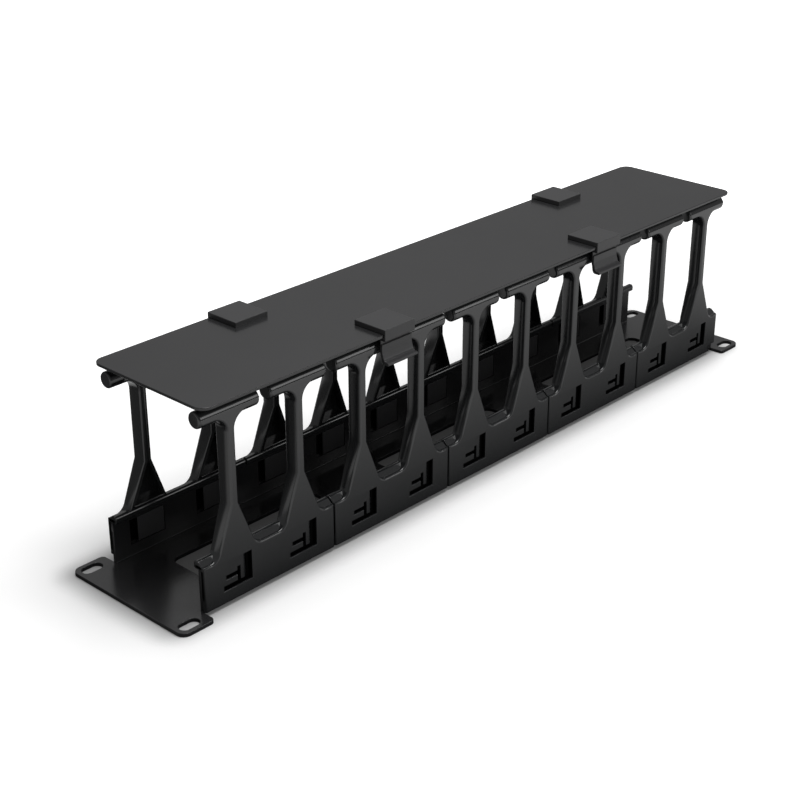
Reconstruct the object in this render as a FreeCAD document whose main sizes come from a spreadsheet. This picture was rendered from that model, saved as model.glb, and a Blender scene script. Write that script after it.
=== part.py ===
"""Horizontal cable manager, two rack units high, lying on its back plate.

A bent steel channel carries two rows of moulded finger modules, and a flat steel
cover is held on the rods at the finger tips by four clips. X runs along the rack
opening, Y across it and Z out of the rack. The origin is the middle of the back
plate's rear face.
"""
import FreeCAD, Part

import math
import os

import Sketcher

doc = FreeCAD.newDocument("cable_manager")

# Driving dimensions in millimetres, grouped by the piece that they shape.
SIZES = {
    # back plate, a bent sheet with ears
    "slot_span_long": 465.1,
    "slot_span_short": 76.2,
    "slot_margin_long": 8.75,
    "slot_margin_short": 5.9,
    "slot_length": 12.0,
    "slot_width": 6.6,
    "sheet": 2.0,
    "ear_length": 20.3,
    "ear_corner": 5.0,
    "ear_inner_corner": 2.5,
    "bend_inside": 0.5,
    "cutout_gap": 50.0,
    "cutout_end": 21.0,
    "cutout_width": 30.0,
    "cutout_corner": 5.0,
    "flange_height": 24.9,
    "window_width": 22.8,
    "window_low": 8.2,
    "window_margin": 2.3,
    # wall and bead of a finger module
    "row_overhang": 0.5,
    "row_setback": 6.5,
    "split_gap": 0.8,
    "wall_thickness": 2.3,
    "wall_play": 0.1,
    "foot_play": 0.1,
    "ledge_gap": 0.4,
    "ledge_thickness": 2.1,
    "bead_rise": 2.3,
    "bead_depth": 7.6,
    "bead_groove": 1.7,
    "bead_slope": 2.6,
    "bead_round": 1.9,
    # fingers, up to the top of their bars
    "finger_height": 105.2,
    "rim_depth": 9.0,
    "foot_depth": 7.0,
    "rim_thickness": 1.6,
    "web_thickness": 2.0,
    "stem_width": 5.2,
    "stem_length": 46.5,
    "foot_width": 25.8,
    "gap_corner": 6.0,
    "channel_step": 0.6,
    "channel_end": 3.0,
    # bars and rods at the finger tips
    "bar_gap": 6.8,
    "bar_thickness": 4.2,
    "bar_corner": 8.0,
    "bar_tip": 2.4,
    "rod_radius": 4.4,
    "rod_drop": 1.5,
    # latch below each finger
    "latch_low": 9.0,
    "latch_margin": 2.4,
    "latch_reach": 9.7,
    "latch_deep_reach": 9.0,
    "latch_floor": 2.9,
    "latch_deep": 2.6,
    "latch_ramp": 2.9,
    "latch_bar_side": 0.7,
    "latch_bar_width": 2.0,
    "latch_bar_high": 19.6,
    "latch_tab": 3.1,
    "latch_arm": 2.4,
    "latch_arm_reach": 8.0,
    "latch_cut": 1.8,
    "hook_play": 0.2,
    "hook_slide": 5.2,
    "notch_length": 6.2,
    "notch_height": 4.2,
    # cover and clips
    "cover_end_inset": 2.0,
    "cover_overhang": 3.9,
    "cover_sheet": 1.6,
    "cover_corner": 6.0,
    "clip_length": 22.2,
    "clip_reach": 21.9,
    "clip_pad": 2.8,
    "clip_play": 0.1,
    "clip_wall": 1.0,
    "clip_rod_gap": 0.65,
    "clip_neck_gap": 1.1,
    "clip_neck": 1.8,
    "clip_shelf": 1.75,
    "clip_shelf_reach": 7.6,
    "clip_block_drop": 2.1,
    "clip_neck_drop": 1.5,
    "clip_lip_reach": 6.2,
    "clip_lip_drop": 8.0,
    "clip_lip": 1.5,
    "clip_lip_lean": 1.3,
    "clip_scoop": 0.6,
    "clip_bend": 2.0,
    "front_clip_pitches": 2.0,
    "back_clip_pitches": 3.0,
}
FINGERS_PER_MODULE = 2
MODULES_PER_ROW = 5
FINGERS_PER_ROW = FINGERS_PER_MODULE * MODULES_PER_ROW
CUTOUT_PLACES = (-1, 0, 1)

size = doc.addObject("Spreadsheet::Sheet", "Size")
for row, (alias, value) in enumerate(SIZES.items(), start=1):
    size.set("A%d" % row, alias)
    size.set("B%d" % row, str(value))
    size.setAlias("B%d" % row, alias)
doc.recompute()


def plus(*expressions):
    """Join expressions into their sum."""
    return "(%s)" % " + ".join(expressions)


def minus(expression, *others):
    """Turn the sign of one expression, or take the others away from it."""
    if others:
        return "(%s)" % " - ".join((expression,) + others)
    return "(0 - %s)" % expression


def half(expression):
    """Halve an expression."""
    return "(%s / 2)" % expression


# Places that follow from the driving sizes, as expressions on the sheet. In the
# master bodies Y points outwards from the cable space.
PANEL_HALF = plus(half("Size.slot_span_long"), "Size.slot_margin_long")
SIDE_HALF = plus(half("Size.slot_span_short"), "Size.slot_margin_short")
FLOOR_HALF = minus(PANEL_HALF, "Size.ear_length")
CUTOUTS = minus("2 * %s" % FLOOR_HALF, "2 * Size.cutout_end",
                "%d * Size.cutout_gap" % (len(CUTOUT_PLACES) - 1))
CUTOUT_LENGTH = "(%s / %d)" % (CUTOUTS, len(CUTOUT_PLACES))
CUTOUT_PITCH = plus(CUTOUT_LENGTH, "Size.cutout_gap")

ROW_HALF = plus(FLOOR_HALF, "Size.row_overhang")
FINGER_PITCH = "(2 * %s / %d)" % (ROW_HALF, FINGERS_PER_ROW)
MODULE_PITCH = "(%s * %d)" % (FINGER_PITCH, FINGERS_PER_MODULE)
MODULE_HALF = half(minus(MODULE_PITCH, "Size.split_gap"))
OUTER_FACE = minus(SIDE_HALF, "Size.row_setback")
WALL_INNER = minus(OUTER_FACE, "Size.wall_thickness")
FLANGE_OUTER = minus(WALL_INNER, "Size.wall_play")
FLANGE_INNER = minus(FLANGE_OUTER, "Size.sheet")
WALL_FOOT = plus("Size.sheet", "Size.foot_play")
WINDOW_HIGH = minus("Size.flange_height", "Size.window_margin")
LEDGE_LOW = plus("Size.flange_height", "Size.ledge_gap")
LEDGE_HIGH = plus(LEDGE_LOW, "Size.ledge_thickness")
BEAD_HIGH = plus(LEDGE_HIGH, "Size.bead_rise")
LATCH_HIGH = minus(LEDGE_HIGH, "Size.latch_margin")

BAR_LOW = minus("Size.finger_height", "Size.bar_thickness")
KNEE_HEIGHT = minus(BAR_LOW, "Size.stem_length")
ROD_AXIS = minus(OUTER_FACE, half("Size.rim_depth"))
ROD_HEIGHT = minus("Size.finger_height", "Size.rod_drop")
ROD_FOOT = minus("Size.finger_height", half("Size.bar_thickness"))
SHELF_LOW = plus(ROD_HEIGHT, "Size.rod_radius", "Size.clip_rod_gap")
SHELF_TOP = plus(SHELF_LOW, "Size.clip_shelf")
COVER_LOW = plus(SHELF_TOP, "Size.clip_play")
COVER_TOP = plus(COVER_LOW, "Size.cover_sheet")
COVER_HALF_LENGTH = minus(ROW_HALF, "Size.cover_end_inset")
COVER_HALF_WIDTH = plus(OUTER_FACE, "Size.cover_overhang")
COVER_EDGE = plus(COVER_HALF_WIDTH, "Size.clip_play")

# Half widths of one finger, measured from its middle, and its sloping foot.
FOOT_HALF = half("Size.foot_width")
STEM_HALF = half("Size.stem_width")
BAR_HALF = half(minus(FINGER_PITCH, "Size.bar_gap"))
FOOT_SLOPE = "((%s - %s) / (%s - %s))" % (FOOT_HALF, STEM_HALF, KNEE_HEIGHT, LEDGE_HIGH)


def value_of(expression):
    """Return the number that an expression on the sheet gives now."""
    return float(size.evalExpression(expression))


def new_body(label):
    """Start a body whose label names it."""
    body = doc.addObject("PartDesign::Body", label)
    body.Label = label
    return body


def new_sketch(body, name, role, offset=None):
    """Add a sketch on one of the body's origin planes, moved along its normal."""
    sketch = body.newObject("Sketcher::SketchObject", name)
    plane = next(item for item in body.Origin.OriginFeatures if item.Role == role)
    sketch.AttachmentSupport = [(plane, "")]
    sketch.MapMode = "FlatFace"
    if offset is not None:
        sketch.setExpression("AttachmentOffset.Base.z", offset)
    return sketch


def constrain(sketch, constraints):
    """Add pairs of a constraint and the expression that drives it, or None."""
    first = len(sketch.Constraints)
    sketch.addConstraint([constraint for constraint, _ in constraints])
    for index, (_, expression) in enumerate(constraints, start=first):
        if expression is not None:
            sketch.setExpression("Constraints[%d]" % index, expression)


def round_corner(corner, back, ahead, radius):
    """Return the arc that rounds a corner between the points before and after it."""
    to_back = (back - corner).normalize()
    to_ahead = (ahead - corner).normalize()
    half_angle = to_back.getAngle(to_ahead) / 2
    tangent = radius / math.tan(half_angle)
    middle_way = (to_back + to_ahead).normalize()
    top = corner + middle_way * (radius / math.sin(half_angle) - radius)
    return Part.Arc(corner + to_back * tangent, top, corner + to_ahead * tangent)


def draw_outline(sketch, corners):
    """Draw a closed outline of straight runs whose corners may be rounded.

    Each corner is (x, y) or (x, y, radius), all expressions. A rounded corner
    keeps a construction point where its two runs would meet, and the sizes are
    set on that point.
    """
    count = len(corners)
    points = [FreeCAD.Vector(value_of(c[0]), value_of(c[1]), 0) for c in corners]
    arcs = [
        round_corner(point, points[i - 1], points[(i + 1) % count], value_of(corners[i][2]))
        if len(corners[i]) > 2 else None
        for i, point in enumerate(points)
    ]
    starts = [arc.EndPoint if arc else point for arc, point in zip(arcs, points)]
    ends = [arc.StartPoint if arc else point for arc, point in zip(arcs, points)]
    run = sketch.GeometryCount
    sketch.addGeometry(
        [Part.LineSegment(starts[i], ends[(i + 1) % count]) for i in range(count)], False
    )
    constraints = []
    for i, corner in enumerate(corners):
        before = run + (i - 1) % count
        after = run + i
        if arcs[i] is None:
            constraints.append((Sketcher.Constraint("Coincident", before, 2, after, 1), None))
            mark = after
        else:
            arc = sketch.addGeometry(arcs[i], False)
            mark = sketch.addGeometry(Part.Point(points[i]), True)
            # A sketch stores every arc anticlockwise, so either end may come first.
            forward = (sketch.getPoint(arc, 1) - ends[i]).Length < 1e-6
            first, last = (1, 2) if forward else (2, 1)
            constraints += [
                (Sketcher.Constraint("Tangent", before, 2, arc, first), None),
                (Sketcher.Constraint("Tangent", arc, last, after, 1), None),
                (Sketcher.Constraint("PointOnObject", mark, 1, before), None),
                (Sketcher.Constraint("PointOnObject", mark, 1, after), None),
                (Sketcher.Constraint("Radius", arc, value_of(corner[2])), corner[2]),
            ]
        constraints += [
            (Sketcher.Constraint("DistanceX", -1, 1, mark, 1, points[i].x), corner[0]),
            (Sketcher.Constraint("DistanceY", -1, 1, mark, 1, points[i].y), corner[1]),
        ]
    constrain(sketch, constraints)


def draw_rectangle(sketch, left, right, low, high, radius=None):
    """Draw a rectangle, with rounded corners where a radius is given."""
    corners = [(left, low), (right, low), (right, high), (left, high)]
    if radius is not None:
        corners = [corner + (radius,) for corner in corners]
    draw_outline(sketch, corners)


def draw_arch(sketch, x, y, radius, foot):
    """Draw a half circle about (x, y) whose straight sides end at the height foot."""
    centre = FreeCAD.Vector(value_of(x), value_of(y), 0)
    r = value_of(radius)
    low = value_of(foot)
    circle = Part.Circle(centre, FreeCAD.Vector(0, 0, 1), r)
    crown = sketch.addGeometry(Part.ArcOfCircle(circle, 0, math.pi), False)
    corners = [
        FreeCAD.Vector(centre.x - r, centre.y, 0),
        FreeCAD.Vector(centre.x - r, low, 0),
        FreeCAD.Vector(centre.x + r, low, 0),
        FreeCAD.Vector(centre.x + r, centre.y, 0),
    ]
    left, base, right = [
        sketch.addGeometry(Part.LineSegment(start, end), False)
        for start, end in zip(corners, corners[1:])
    ]
    constrain(sketch, [
        (Sketcher.Constraint("Tangent", crown, 2, left, 1), None),
        (Sketcher.Constraint("Coincident", left, 2, base, 1), None),
        (Sketcher.Constraint("Coincident", base, 2, right, 1), None),
        (Sketcher.Constraint("Tangent", right, 2, crown, 1), None),
        (Sketcher.Constraint("Vertical", left), None),
        (Sketcher.Constraint("Vertical", right), None),
        (Sketcher.Constraint("Horizontal", base), None),
        (Sketcher.Constraint("DistanceX", -1, 1, crown, 3, centre.x), x),
        (Sketcher.Constraint("DistanceY", -1, 1, crown, 3, centre.y), y),
        (Sketcher.Constraint("Radius", crown, r), radius),
        (Sketcher.Constraint("DistanceY", -1, 1, base, 1, low), foot),
    ])


def draw_slot(sketch, x, y, length, width):
    """Draw a slot with round ends along X, centred on two expressions."""
    radius = half(width)
    reach = half(minus(length, width))
    lefts = (minus(x, reach), plus(x, reach))
    height = value_of(y)
    r = value_of(radius)
    ends = []
    for place, start in ((lefts[0], math.pi / 2), (lefts[1], -math.pi / 2)):
        centre = FreeCAD.Vector(value_of(place), height, 0)
        circle = Part.Circle(centre, FreeCAD.Vector(0, 0, 1), r)
        ends.append(sketch.addGeometry(Part.ArcOfCircle(circle, start, start + math.pi), False))
    left, right = value_of(lefts[0]), value_of(lefts[1])
    sides = [
        sketch.addGeometry(
            Part.LineSegment(FreeCAD.Vector(left, level, 0), FreeCAD.Vector(right, level, 0)), False
        )
        for level in (height + r, height - r)
    ]
    constrain(sketch, [
        (Sketcher.Constraint("Tangent", ends[0], 1, sides[0], 1), None),
        (Sketcher.Constraint("Tangent", ends[0], 2, sides[1], 1), None),
        (Sketcher.Constraint("Tangent", ends[1], 1, sides[1], 2), None),
        (Sketcher.Constraint("Tangent", ends[1], 2, sides[0], 2), None),
        (Sketcher.Constraint("Equal", ends[0], ends[1]), None),
        (Sketcher.Constraint("Radius", ends[0], r), radius),
        (Sketcher.Constraint("DistanceX", -1, 1, ends[0], 3, left), lefts[0]),
        (Sketcher.Constraint("DistanceY", -1, 1, ends[0], 3, height), y),
        (Sketcher.Constraint("DistanceX", -1, 1, ends[1], 3, right), lefts[1]),
        (Sketcher.Constraint("DistanceY", -1, 1, ends[1], 3, height), y),
    ])


def extrude(body, kind, name, sketch, length, reverse=False, symmetric=False):
    """Pad or pocket a sketch, and stop if the volume doesn't change the right way."""
    doc.recompute()
    before = body.Shape.Volume if body.Tip is not None else 0.0
    feature = body.newObject("PartDesign::" + kind, name)
    feature.Profile = sketch
    feature.Reversed = reverse
    feature.Midplane = symmetric
    feature.setExpression("Length", length)
    doc.recompute()
    change = body.Shape.Volume - before
    if change * (1 if kind == "Pad" else -1) <= 0:
        raise RuntimeError("%s %s of %s does nothing" % (kind, name, body.Label))
    return feature


def build_base_plate():
    """Make the bent sheet: floor, two flanges, ears, slots, cutouts and windows."""
    body = new_body("base_plate")

    section = new_sketch(body, "ChannelSection", "YZ_Plane")
    bend_outside = plus("Size.bend_inside", "Size.sheet")
    draw_outline(section, [
        (minus(FLANGE_OUTER), "0", bend_outside),
        (FLANGE_OUTER, "0", bend_outside),
        (FLANGE_OUTER, "Size.flange_height"),
        (FLANGE_INNER, "Size.flange_height"),
        (FLANGE_INNER, "Size.sheet", "Size.bend_inside"),
        (minus(FLANGE_INNER), "Size.sheet", "Size.bend_inside"),
        (minus(FLANGE_INNER), "Size.flange_height"),
        (minus(FLANGE_OUTER), "Size.flange_height"),
    ])
    extrude(body, "Pad", "Channel", section, "2 * %s" % FLOOR_HALF, symmetric=True)

    ears = new_sketch(body, "EarOutlines", "XY_Plane")
    for turn in ("1", "-1"):
        inner_x = "(%s * %s)" % (turn, FLOOR_HALF)
        outer_x = "(%s * %s)" % (turn, PANEL_HALF)
        draw_outline(ears, [
            (inner_x, minus(SIDE_HALF), "Size.ear_inner_corner"),
            (outer_x, minus(SIDE_HALF), "Size.ear_corner"),
            (outer_x, SIDE_HALF, "Size.ear_corner"),
            (inner_x, SIDE_HALF, "Size.ear_inner_corner"),
        ])
    extrude(body, "Pad", "Ears", ears, "Size.sheet")

    openings = new_sketch(body, "FloorOpenings", "XY_Plane")
    for turn_x in ("1", "-1"):
        for turn_y in ("1", "-1"):
            draw_slot(
                openings,
                "(%s * Size.slot_span_long / 2)" % turn_x,
                "(%s * Size.slot_span_short / 2)" % turn_y,
                "Size.slot_length",
                "Size.slot_width",
            )
    for place in CUTOUT_PLACES:
        middle = "(%d * %s)" % (place, CUTOUT_PITCH)
        draw_rectangle(
            openings,
            minus(middle, half(CUTOUT_LENGTH)),
            plus(middle, half(CUTOUT_LENGTH)),
            minus(half("Size.cutout_width")),
            half("Size.cutout_width"),
            "Size.cutout_corner",
        )
    extrude(body, "Pocket", "FloorCuts", openings, "Size.sheet", reverse=True)

    window = new_sketch(body, "WindowOutline", "XZ_Plane")
    first_finger = minus(half(FINGER_PITCH), ROW_HALF)
    draw_rectangle(
        window,
        minus(first_finger, half("Size.window_width")),
        plus(first_finger, half("Size.window_width")),
        "Size.window_low",
        WINDOW_HIGH,
    )
    cut = extrude(body, "Pocket", "Window", window, "2 * %s" % OUTER_FACE, symmetric=True)
    row = body.newObject("PartDesign::LinearPattern", "WindowRow")
    row.Originals = [cut]
    row.Direction = (window, ["H_Axis"])
    row.Occurrences = FINGERS_PER_ROW
    row.setExpression("Length", "%s * %d" % (FINGER_PITCH, FINGERS_PER_ROW - 1))
    body.Tip = row
    return body


def finger_middles():
    """Return the middle of each finger of a module, from the module's own middle."""
    return [
        "(%s * %s)" % (FINGER_PITCH, i - (FINGERS_PER_MODULE - 1) / 2)
        for i in range(FINGERS_PER_MODULE)
    ]


def draw_fingers(sketch):
    """Draw the outer shape of a module's fingers, standing on the ledge."""
    corners = [(minus(MODULE_HALF), LEDGE_HIGH)]
    for middle in finger_middles():
        left = [
            (FOOT_HALF, LEDGE_HIGH, "Size.gap_corner"),
            (STEM_HALF, KNEE_HEIGHT),
            (STEM_HALF, BAR_LOW, "Size.bar_corner"),
            (BAR_HALF, BAR_LOW, "Size.bar_tip"),
            (BAR_HALF, "Size.finger_height"),
        ]
        corners += [(minus(middle, corner[0]),) + corner[1:] for corner in left]
        corners += [(plus(middle, corner[0]),) + corner[1:] for corner in reversed(left)]
    corners += [
        (MODULE_HALF, LEDGE_HIGH),
        (MODULE_HALF, LEDGE_LOW),
        (minus(MODULE_HALF), LEDGE_LOW),
    ]
    draw_outline(sketch, corners)


def build_module_master():
    """Make one moulded module of two fingers, with Y pointing outwards."""
    body = new_body("finger_module")

    fingers = new_sketch(body, "FingerOutline", "XZ_Plane", minus(OUTER_FACE))
    draw_fingers(fingers)
    extrude(body, "Pad", "Fingers", fingers, "Size.rim_depth")

    # The fingers get shallower from the knee down to the bead.
    taper = new_sketch(body, "FootTaper", "YZ_Plane")
    foot_back = minus(OUTER_FACE, "Size.foot_depth")
    rim_back = minus(OUTER_FACE, "Size.rim_depth")
    draw_outline(taper, [
        (foot_back, LEDGE_LOW),
        (foot_back, BEAD_HIGH),
        (rim_back, KNEE_HEIGHT),
        (rim_back, LEDGE_LOW),
    ])
    extrude(body, "Pocket", "FootBacks", taper, "2 * %s" % MODULE_HALF, symmetric=True)

    section = new_sketch(body, "WallSection", "YZ_Plane")
    groove = minus(OUTER_FACE, "Size.bead_groove")
    tip = minus(OUTER_FACE, "Size.bead_depth")
    draw_outline(section, [
        (OUTER_FACE, WALL_FOOT),
        (OUTER_FACE, LEDGE_HIGH),
        (groove, LEDGE_HIGH),
        (minus(groove, "Size.bead_slope"), BEAD_HIGH),
        (tip, BEAD_HIGH, "Size.bead_round"),
        (tip, LEDGE_LOW),
        (WALL_INNER, LEDGE_LOW),
        (WALL_INNER, WALL_FOOT),
    ])
    extrude(body, "Pad", "WallAndBead", section, "2 * %s" % MODULE_HALF, symmetric=True)

    channels = new_sketch(body, "ChannelOutline", "XZ_Plane",
                          minus("Size.web_thickness", OUTER_FACE))
    rim_shift = "(Size.rim_thickness * sqrt(1 + %s ^ 2))" % FOOT_SLOPE
    channel_low = plus(BEAD_HIGH, "Size.channel_step")
    channel_half = minus(STEM_HALF, "Size.rim_thickness")
    low_half = minus(FOOT_HALF, "%s * (%s - %s)" % (FOOT_SLOPE, channel_low, LEDGE_HIGH),
                     rim_shift)
    bend_height = minus(KNEE_HEIGHT,
                        "(%s - Size.rim_thickness) / %s" % (rim_shift, FOOT_SLOPE))
    channel_high = minus(BAR_LOW, "Size.channel_end")
    for middle in finger_middles():
        draw_outline(channels, [
            (minus(middle, low_half), channel_low),
            (plus(middle, low_half), channel_low),
            (plus(middle, channel_half), bend_height),
            (plus(middle, channel_half), channel_high),
            (minus(middle, channel_half), channel_high),
            (minus(middle, channel_half), bend_height),
        ])
    channel_depth = minus("Size.rim_depth", "Size.web_thickness")
    extrude(body, "Pocket", "Channels", channels, channel_depth, reverse=True)

    for number, middle in enumerate(finger_middles(), start=1):
        rod = new_sketch(body, "RodSection%d" % number, "YZ_Plane", middle)
        draw_arch(rod, ROD_AXIS, ROD_HEIGHT, "Size.rod_radius", ROD_FOOT)
        extrude(body, "Pad", "Rod%d" % number, rod, "2 * %s" % BAR_HALF, symmetric=True)

    hooks = new_sketch(body, "HookOutline", "XZ_Plane", minus(WALL_INNER))
    window_half = half("Size.window_width")
    for middle in finger_middles():
        draw_rectangle(
            hooks,
            plus(minus(middle, window_half), "Size.hook_slide"),
            minus(plus(middle, window_half), "Size.hook_play"),
            plus("Size.window_low", "Size.hook_play"),
            minus(WINDOW_HIGH, "Size.hook_play"),
        )
    extrude(body, "Pad", "Hooks", hooks, plus("Size.wall_play", "Size.sheet"))

    latch = new_sketch(body, "LatchOutline", "XZ_Plane", minus(OUTER_FACE))
    floor_top = plus("Size.latch_low", "Size.latch_floor")
    arm_low = plus(floor_top, "Size.latch_tab")
    arm_high = plus(arm_low, "Size.latch_arm")
    for middle in finger_middles():
        deep_side = minus(middle, "Size.latch_deep_reach")
        plain_side = plus(middle, "Size.latch_reach")
        bar_right = plus(middle, "Size.latch_bar_side")
        bar_left = minus(bar_right, "Size.latch_bar_width")
        arm_end = plus(middle, "Size.latch_arm_reach")
        draw_outline(latch, [
            (deep_side, "Size.latch_low"),
            (plain_side, "Size.latch_low"),
            (plain_side, floor_top),
            (bar_right, floor_top),
            (bar_right, arm_low),
            (arm_end, arm_low),
            (arm_end, arm_high),
            (bar_right, arm_high),
            (bar_right, "Size.latch_bar_high"),
            (bar_left, "Size.latch_bar_high"),
            (bar_left, floor_top),
            (deep_side, floor_top),
        ])
    extrude(body, "Pocket", "LatchSlots", latch, "Size.latch_cut", reverse=True)

    ramp = new_sketch(body, "RampSection", "XY_Plane", floor_top)
    slot_floor = minus(OUTER_FACE, "Size.latch_cut")
    above = plus(OUTER_FACE, "Size.latch_cut")
    for middle in finger_middles():
        deep_side = minus(middle, "Size.latch_deep_reach")
        ramp_foot = plus(deep_side, "Size.latch_deep")
        ramp_top = plus(ramp_foot, "Size.latch_ramp")
        draw_outline(ramp, [
            (deep_side, slot_floor),
            (ramp_foot, slot_floor),
            (ramp_top, OUTER_FACE),
            (ramp_top, above),
            (deep_side, above),
        ])
    ramp_length = minus(LATCH_HIGH, floor_top)
    extrude(body, "Pocket", "LatchRamp", ramp, ramp_length, reverse=True)
    return body


def build_clip_master():
    """Make one extruded cover clip, with Y pointing outwards."""
    body = new_body("cover_clip")
    profile = new_sketch(body, "ClipSection", "YZ_Plane")
    block_out = plus(COVER_EDGE, "Size.clip_wall")
    pad_top = plus(COVER_TOP, "Size.clip_pad")
    pad_end = minus(block_out, "Size.clip_reach")
    neck_in = plus(ROD_AXIS, "Size.rod_radius", "Size.clip_neck_gap")
    neck_out = plus(neck_in, "Size.clip_neck")
    shelf_end = minus(neck_in, "Size.clip_shelf_reach")
    lip_in = plus(neck_in, "Size.clip_lip_lean")
    lip_out = plus(neck_in, "Size.clip_lip_reach")
    block_low = minus(COVER_LOW, "Size.clip_block_drop")
    neck_low = minus(ROD_HEIGHT, "Size.clip_neck_drop")
    lip_low = minus(ROD_HEIGHT, "Size.clip_lip_drop")
    lip_top = plus(lip_low, "Size.clip_lip")
    scoop_out = plus(neck_out, "Size.clip_lip_lean")
    draw_outline(profile, [
        (pad_end, COVER_TOP),
        (COVER_EDGE, COVER_TOP),
        (COVER_EDGE, SHELF_TOP),
        (shelf_end, SHELF_TOP),
        (shelf_end, SHELF_LOW),
        (neck_in, SHELF_LOW),
        (neck_in, neck_low, "Size.clip_bend"),
        (lip_in, lip_low, "Size.clip_bend"),
        (lip_out, lip_low),
        (lip_out, lip_top),
        (scoop_out, plus(lip_top, "Size.clip_scoop"), "Size.clip_bend"),
        (neck_out, neck_low, "Size.clip_bend"),
        (neck_out, block_low),
        (block_out, block_low),
        (block_out, pad_top),
        (pad_end, pad_top),
    ])
    extrude(body, "Pad", "Clip", profile, "Size.clip_length", symmetric=True)
    return body


def build_cover_plate():
    """Make the flat cover with rounded corners."""
    body = new_body("cover_plate")
    outline = new_sketch(body, "CoverOutline", "XY_Plane", COVER_LOW)
    draw_rectangle(
        outline,
        minus(COVER_HALF_LENGTH),
        COVER_HALF_LENGTH,
        minus(COVER_HALF_WIDTH),
        COVER_HALF_WIDTH,
        "Size.cover_corner",
    )
    extrude(body, "Pad", "Cover", outline, "Size.cover_sheet")
    return body


def place_copy(master, label, middle, front):
    """Place a copy of a master body along its row, turned round for the front."""
    body = new_body(label)
    copy = body.newObject("PartDesign::FeatureBase", label + "_moulding")
    copy.BaseFeature = master
    body.Tip = copy
    turn = FreeCAD.Rotation(FreeCAD.Vector(0, 0, 1), 180 if front else 0)
    body.Placement = FreeCAD.Placement(FreeCAD.Vector(0, 0, 0), turn)
    body.setExpression("Placement.Base.x", middle)
    return body


def cut_end_notch(body):
    """Cut the lower corner off the end of a row."""
    notch = new_sketch(body, body.Label + "_notch", "XZ_Plane", minus(OUTER_FACE))
    draw_rectangle(
        notch,
        minus(MODULE_HALF),
        minus("Size.notch_length", MODULE_HALF),
        WALL_FOOT,
        plus(WALL_FOOT, "Size.notch_height"),
    )
    extrude(body, "Pocket", body.Label + "_notch_cut", notch, "Size.wall_thickness", reverse=True)


def build_rows(master):
    """Place the modules of both rows and notch the last one of each."""
    modules = []
    for row_name, front in (("front", True), ("back", False)):
        for number in range(MODULES_PER_ROW):
            steps = number - (MODULES_PER_ROW - 1) / 2
            label = "%s_module_%d" % (row_name, number + 1)
            module = place_copy(master, label, "%s * %s" % (steps, MODULE_PITCH), front)
            last = number == (MODULES_PER_ROW - 1 if front else 0)
            if last:
                cut_end_notch(module)
            modules.append(module)
    return modules


def build_clips(master):
    """Place two clips on each long side of the cover."""
    clips = []
    for row_name, front in (("front", True), ("back", False)):
        for number, turn in enumerate((-1, 1), start=1):
            middle = "%d * Size.%s_clip_pitches * %s" % (turn, row_name, FINGER_PITCH)
            clips.append(place_copy(master, "%s_clip_%d" % (row_name, number), middle, front))
    return clips


def check_document(nodes):
    """Stop if any object failed or any piece isn't one valid solid."""
    doc.recompute()
    for item in doc.Objects:
        if "Invalid" in item.State or "Error" in item.State:
            raise RuntimeError("%s failed: %s" % (item.Label, item.State))
    for node in nodes:
        shape = node.Shape
        if shape.isNull() or not shape.isValid() or len(shape.Solids) != 1:
            raise RuntimeError("%s isn't one valid solid" % node.Label)


nodes = [build_base_plate()]
nodes += build_rows(build_module_master())
nodes += [build_cover_plate()]
nodes += build_clips(build_clip_master())
check_document(nodes)

os.makedirs("parts", exist_ok=True)
for node in nodes:
    node.Shape.exportStep("parts/%s.step" % node.Label)
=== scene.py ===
"""Looks of the horizontal cable manager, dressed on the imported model.

Every moulding, clip and sheet is worked out again as numpy surfaces with the round
edges of the real one, takes the place of its plain node and rides on that node's body.
Lengths are in millimetres and become metres as a mesh is made.
"""
import logging
import math
from abc import ABC, abstractmethod
from collections.abc import Callable, Sequence
from dataclasses import dataclass, field
from enum import Enum

import bmesh
import bpy
import numpy as np
from bpy.types import ID, Material, Node, NodeSocket, NodeTree, Object
from mathutils import Matrix, Vector
from mathutils.geometry import tessellate_polygon


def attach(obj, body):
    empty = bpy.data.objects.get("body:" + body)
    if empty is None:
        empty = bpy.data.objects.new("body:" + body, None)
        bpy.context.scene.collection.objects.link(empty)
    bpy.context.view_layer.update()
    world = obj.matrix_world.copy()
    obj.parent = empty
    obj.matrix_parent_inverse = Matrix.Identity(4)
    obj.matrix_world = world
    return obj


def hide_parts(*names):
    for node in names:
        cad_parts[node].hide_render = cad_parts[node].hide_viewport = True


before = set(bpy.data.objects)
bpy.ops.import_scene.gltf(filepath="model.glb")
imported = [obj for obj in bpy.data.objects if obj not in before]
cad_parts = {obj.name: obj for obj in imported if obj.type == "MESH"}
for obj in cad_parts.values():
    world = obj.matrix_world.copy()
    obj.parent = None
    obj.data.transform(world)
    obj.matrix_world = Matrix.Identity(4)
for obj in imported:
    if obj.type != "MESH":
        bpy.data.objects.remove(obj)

LOG = logging.getLogger("cable_manager")
MM = 0.001
WHITE = (1.0, 1.0, 1.0, 1.0)
SOFT = {"interpolation_type": "SMOOTHSTEP"}
# In millimetres: what lies on a line, and twice the area of a triangle worth keeping.
NEAR = 0.01
SLIVER = 1e-9
# How a mesh is finished: points closer than this, in metres, are merged, and edges
# that turn more than this, in degrees, stay sharp.
MERGE = 2e-6
SHARP = 32
FLAT_WEIGHT = 100
# Faces across the round edges of the mouldings.
FINE = 6

Pair = tuple[float, float]
Triple = tuple[float, float, float]
Corner = tuple[float, ...]
Inputs = dict[str | int, object]


class Row(Enum):
    """The two long sides of the manager, by the sign of their Y."""

    FRONT = -1
    BACK = 1


# Modules in a row, and how many pitches from the middle its two clips are.
MODULES = 5
CLIP_PITCHES = {Row.FRONT: 2, Row.BACK: 3}


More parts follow.
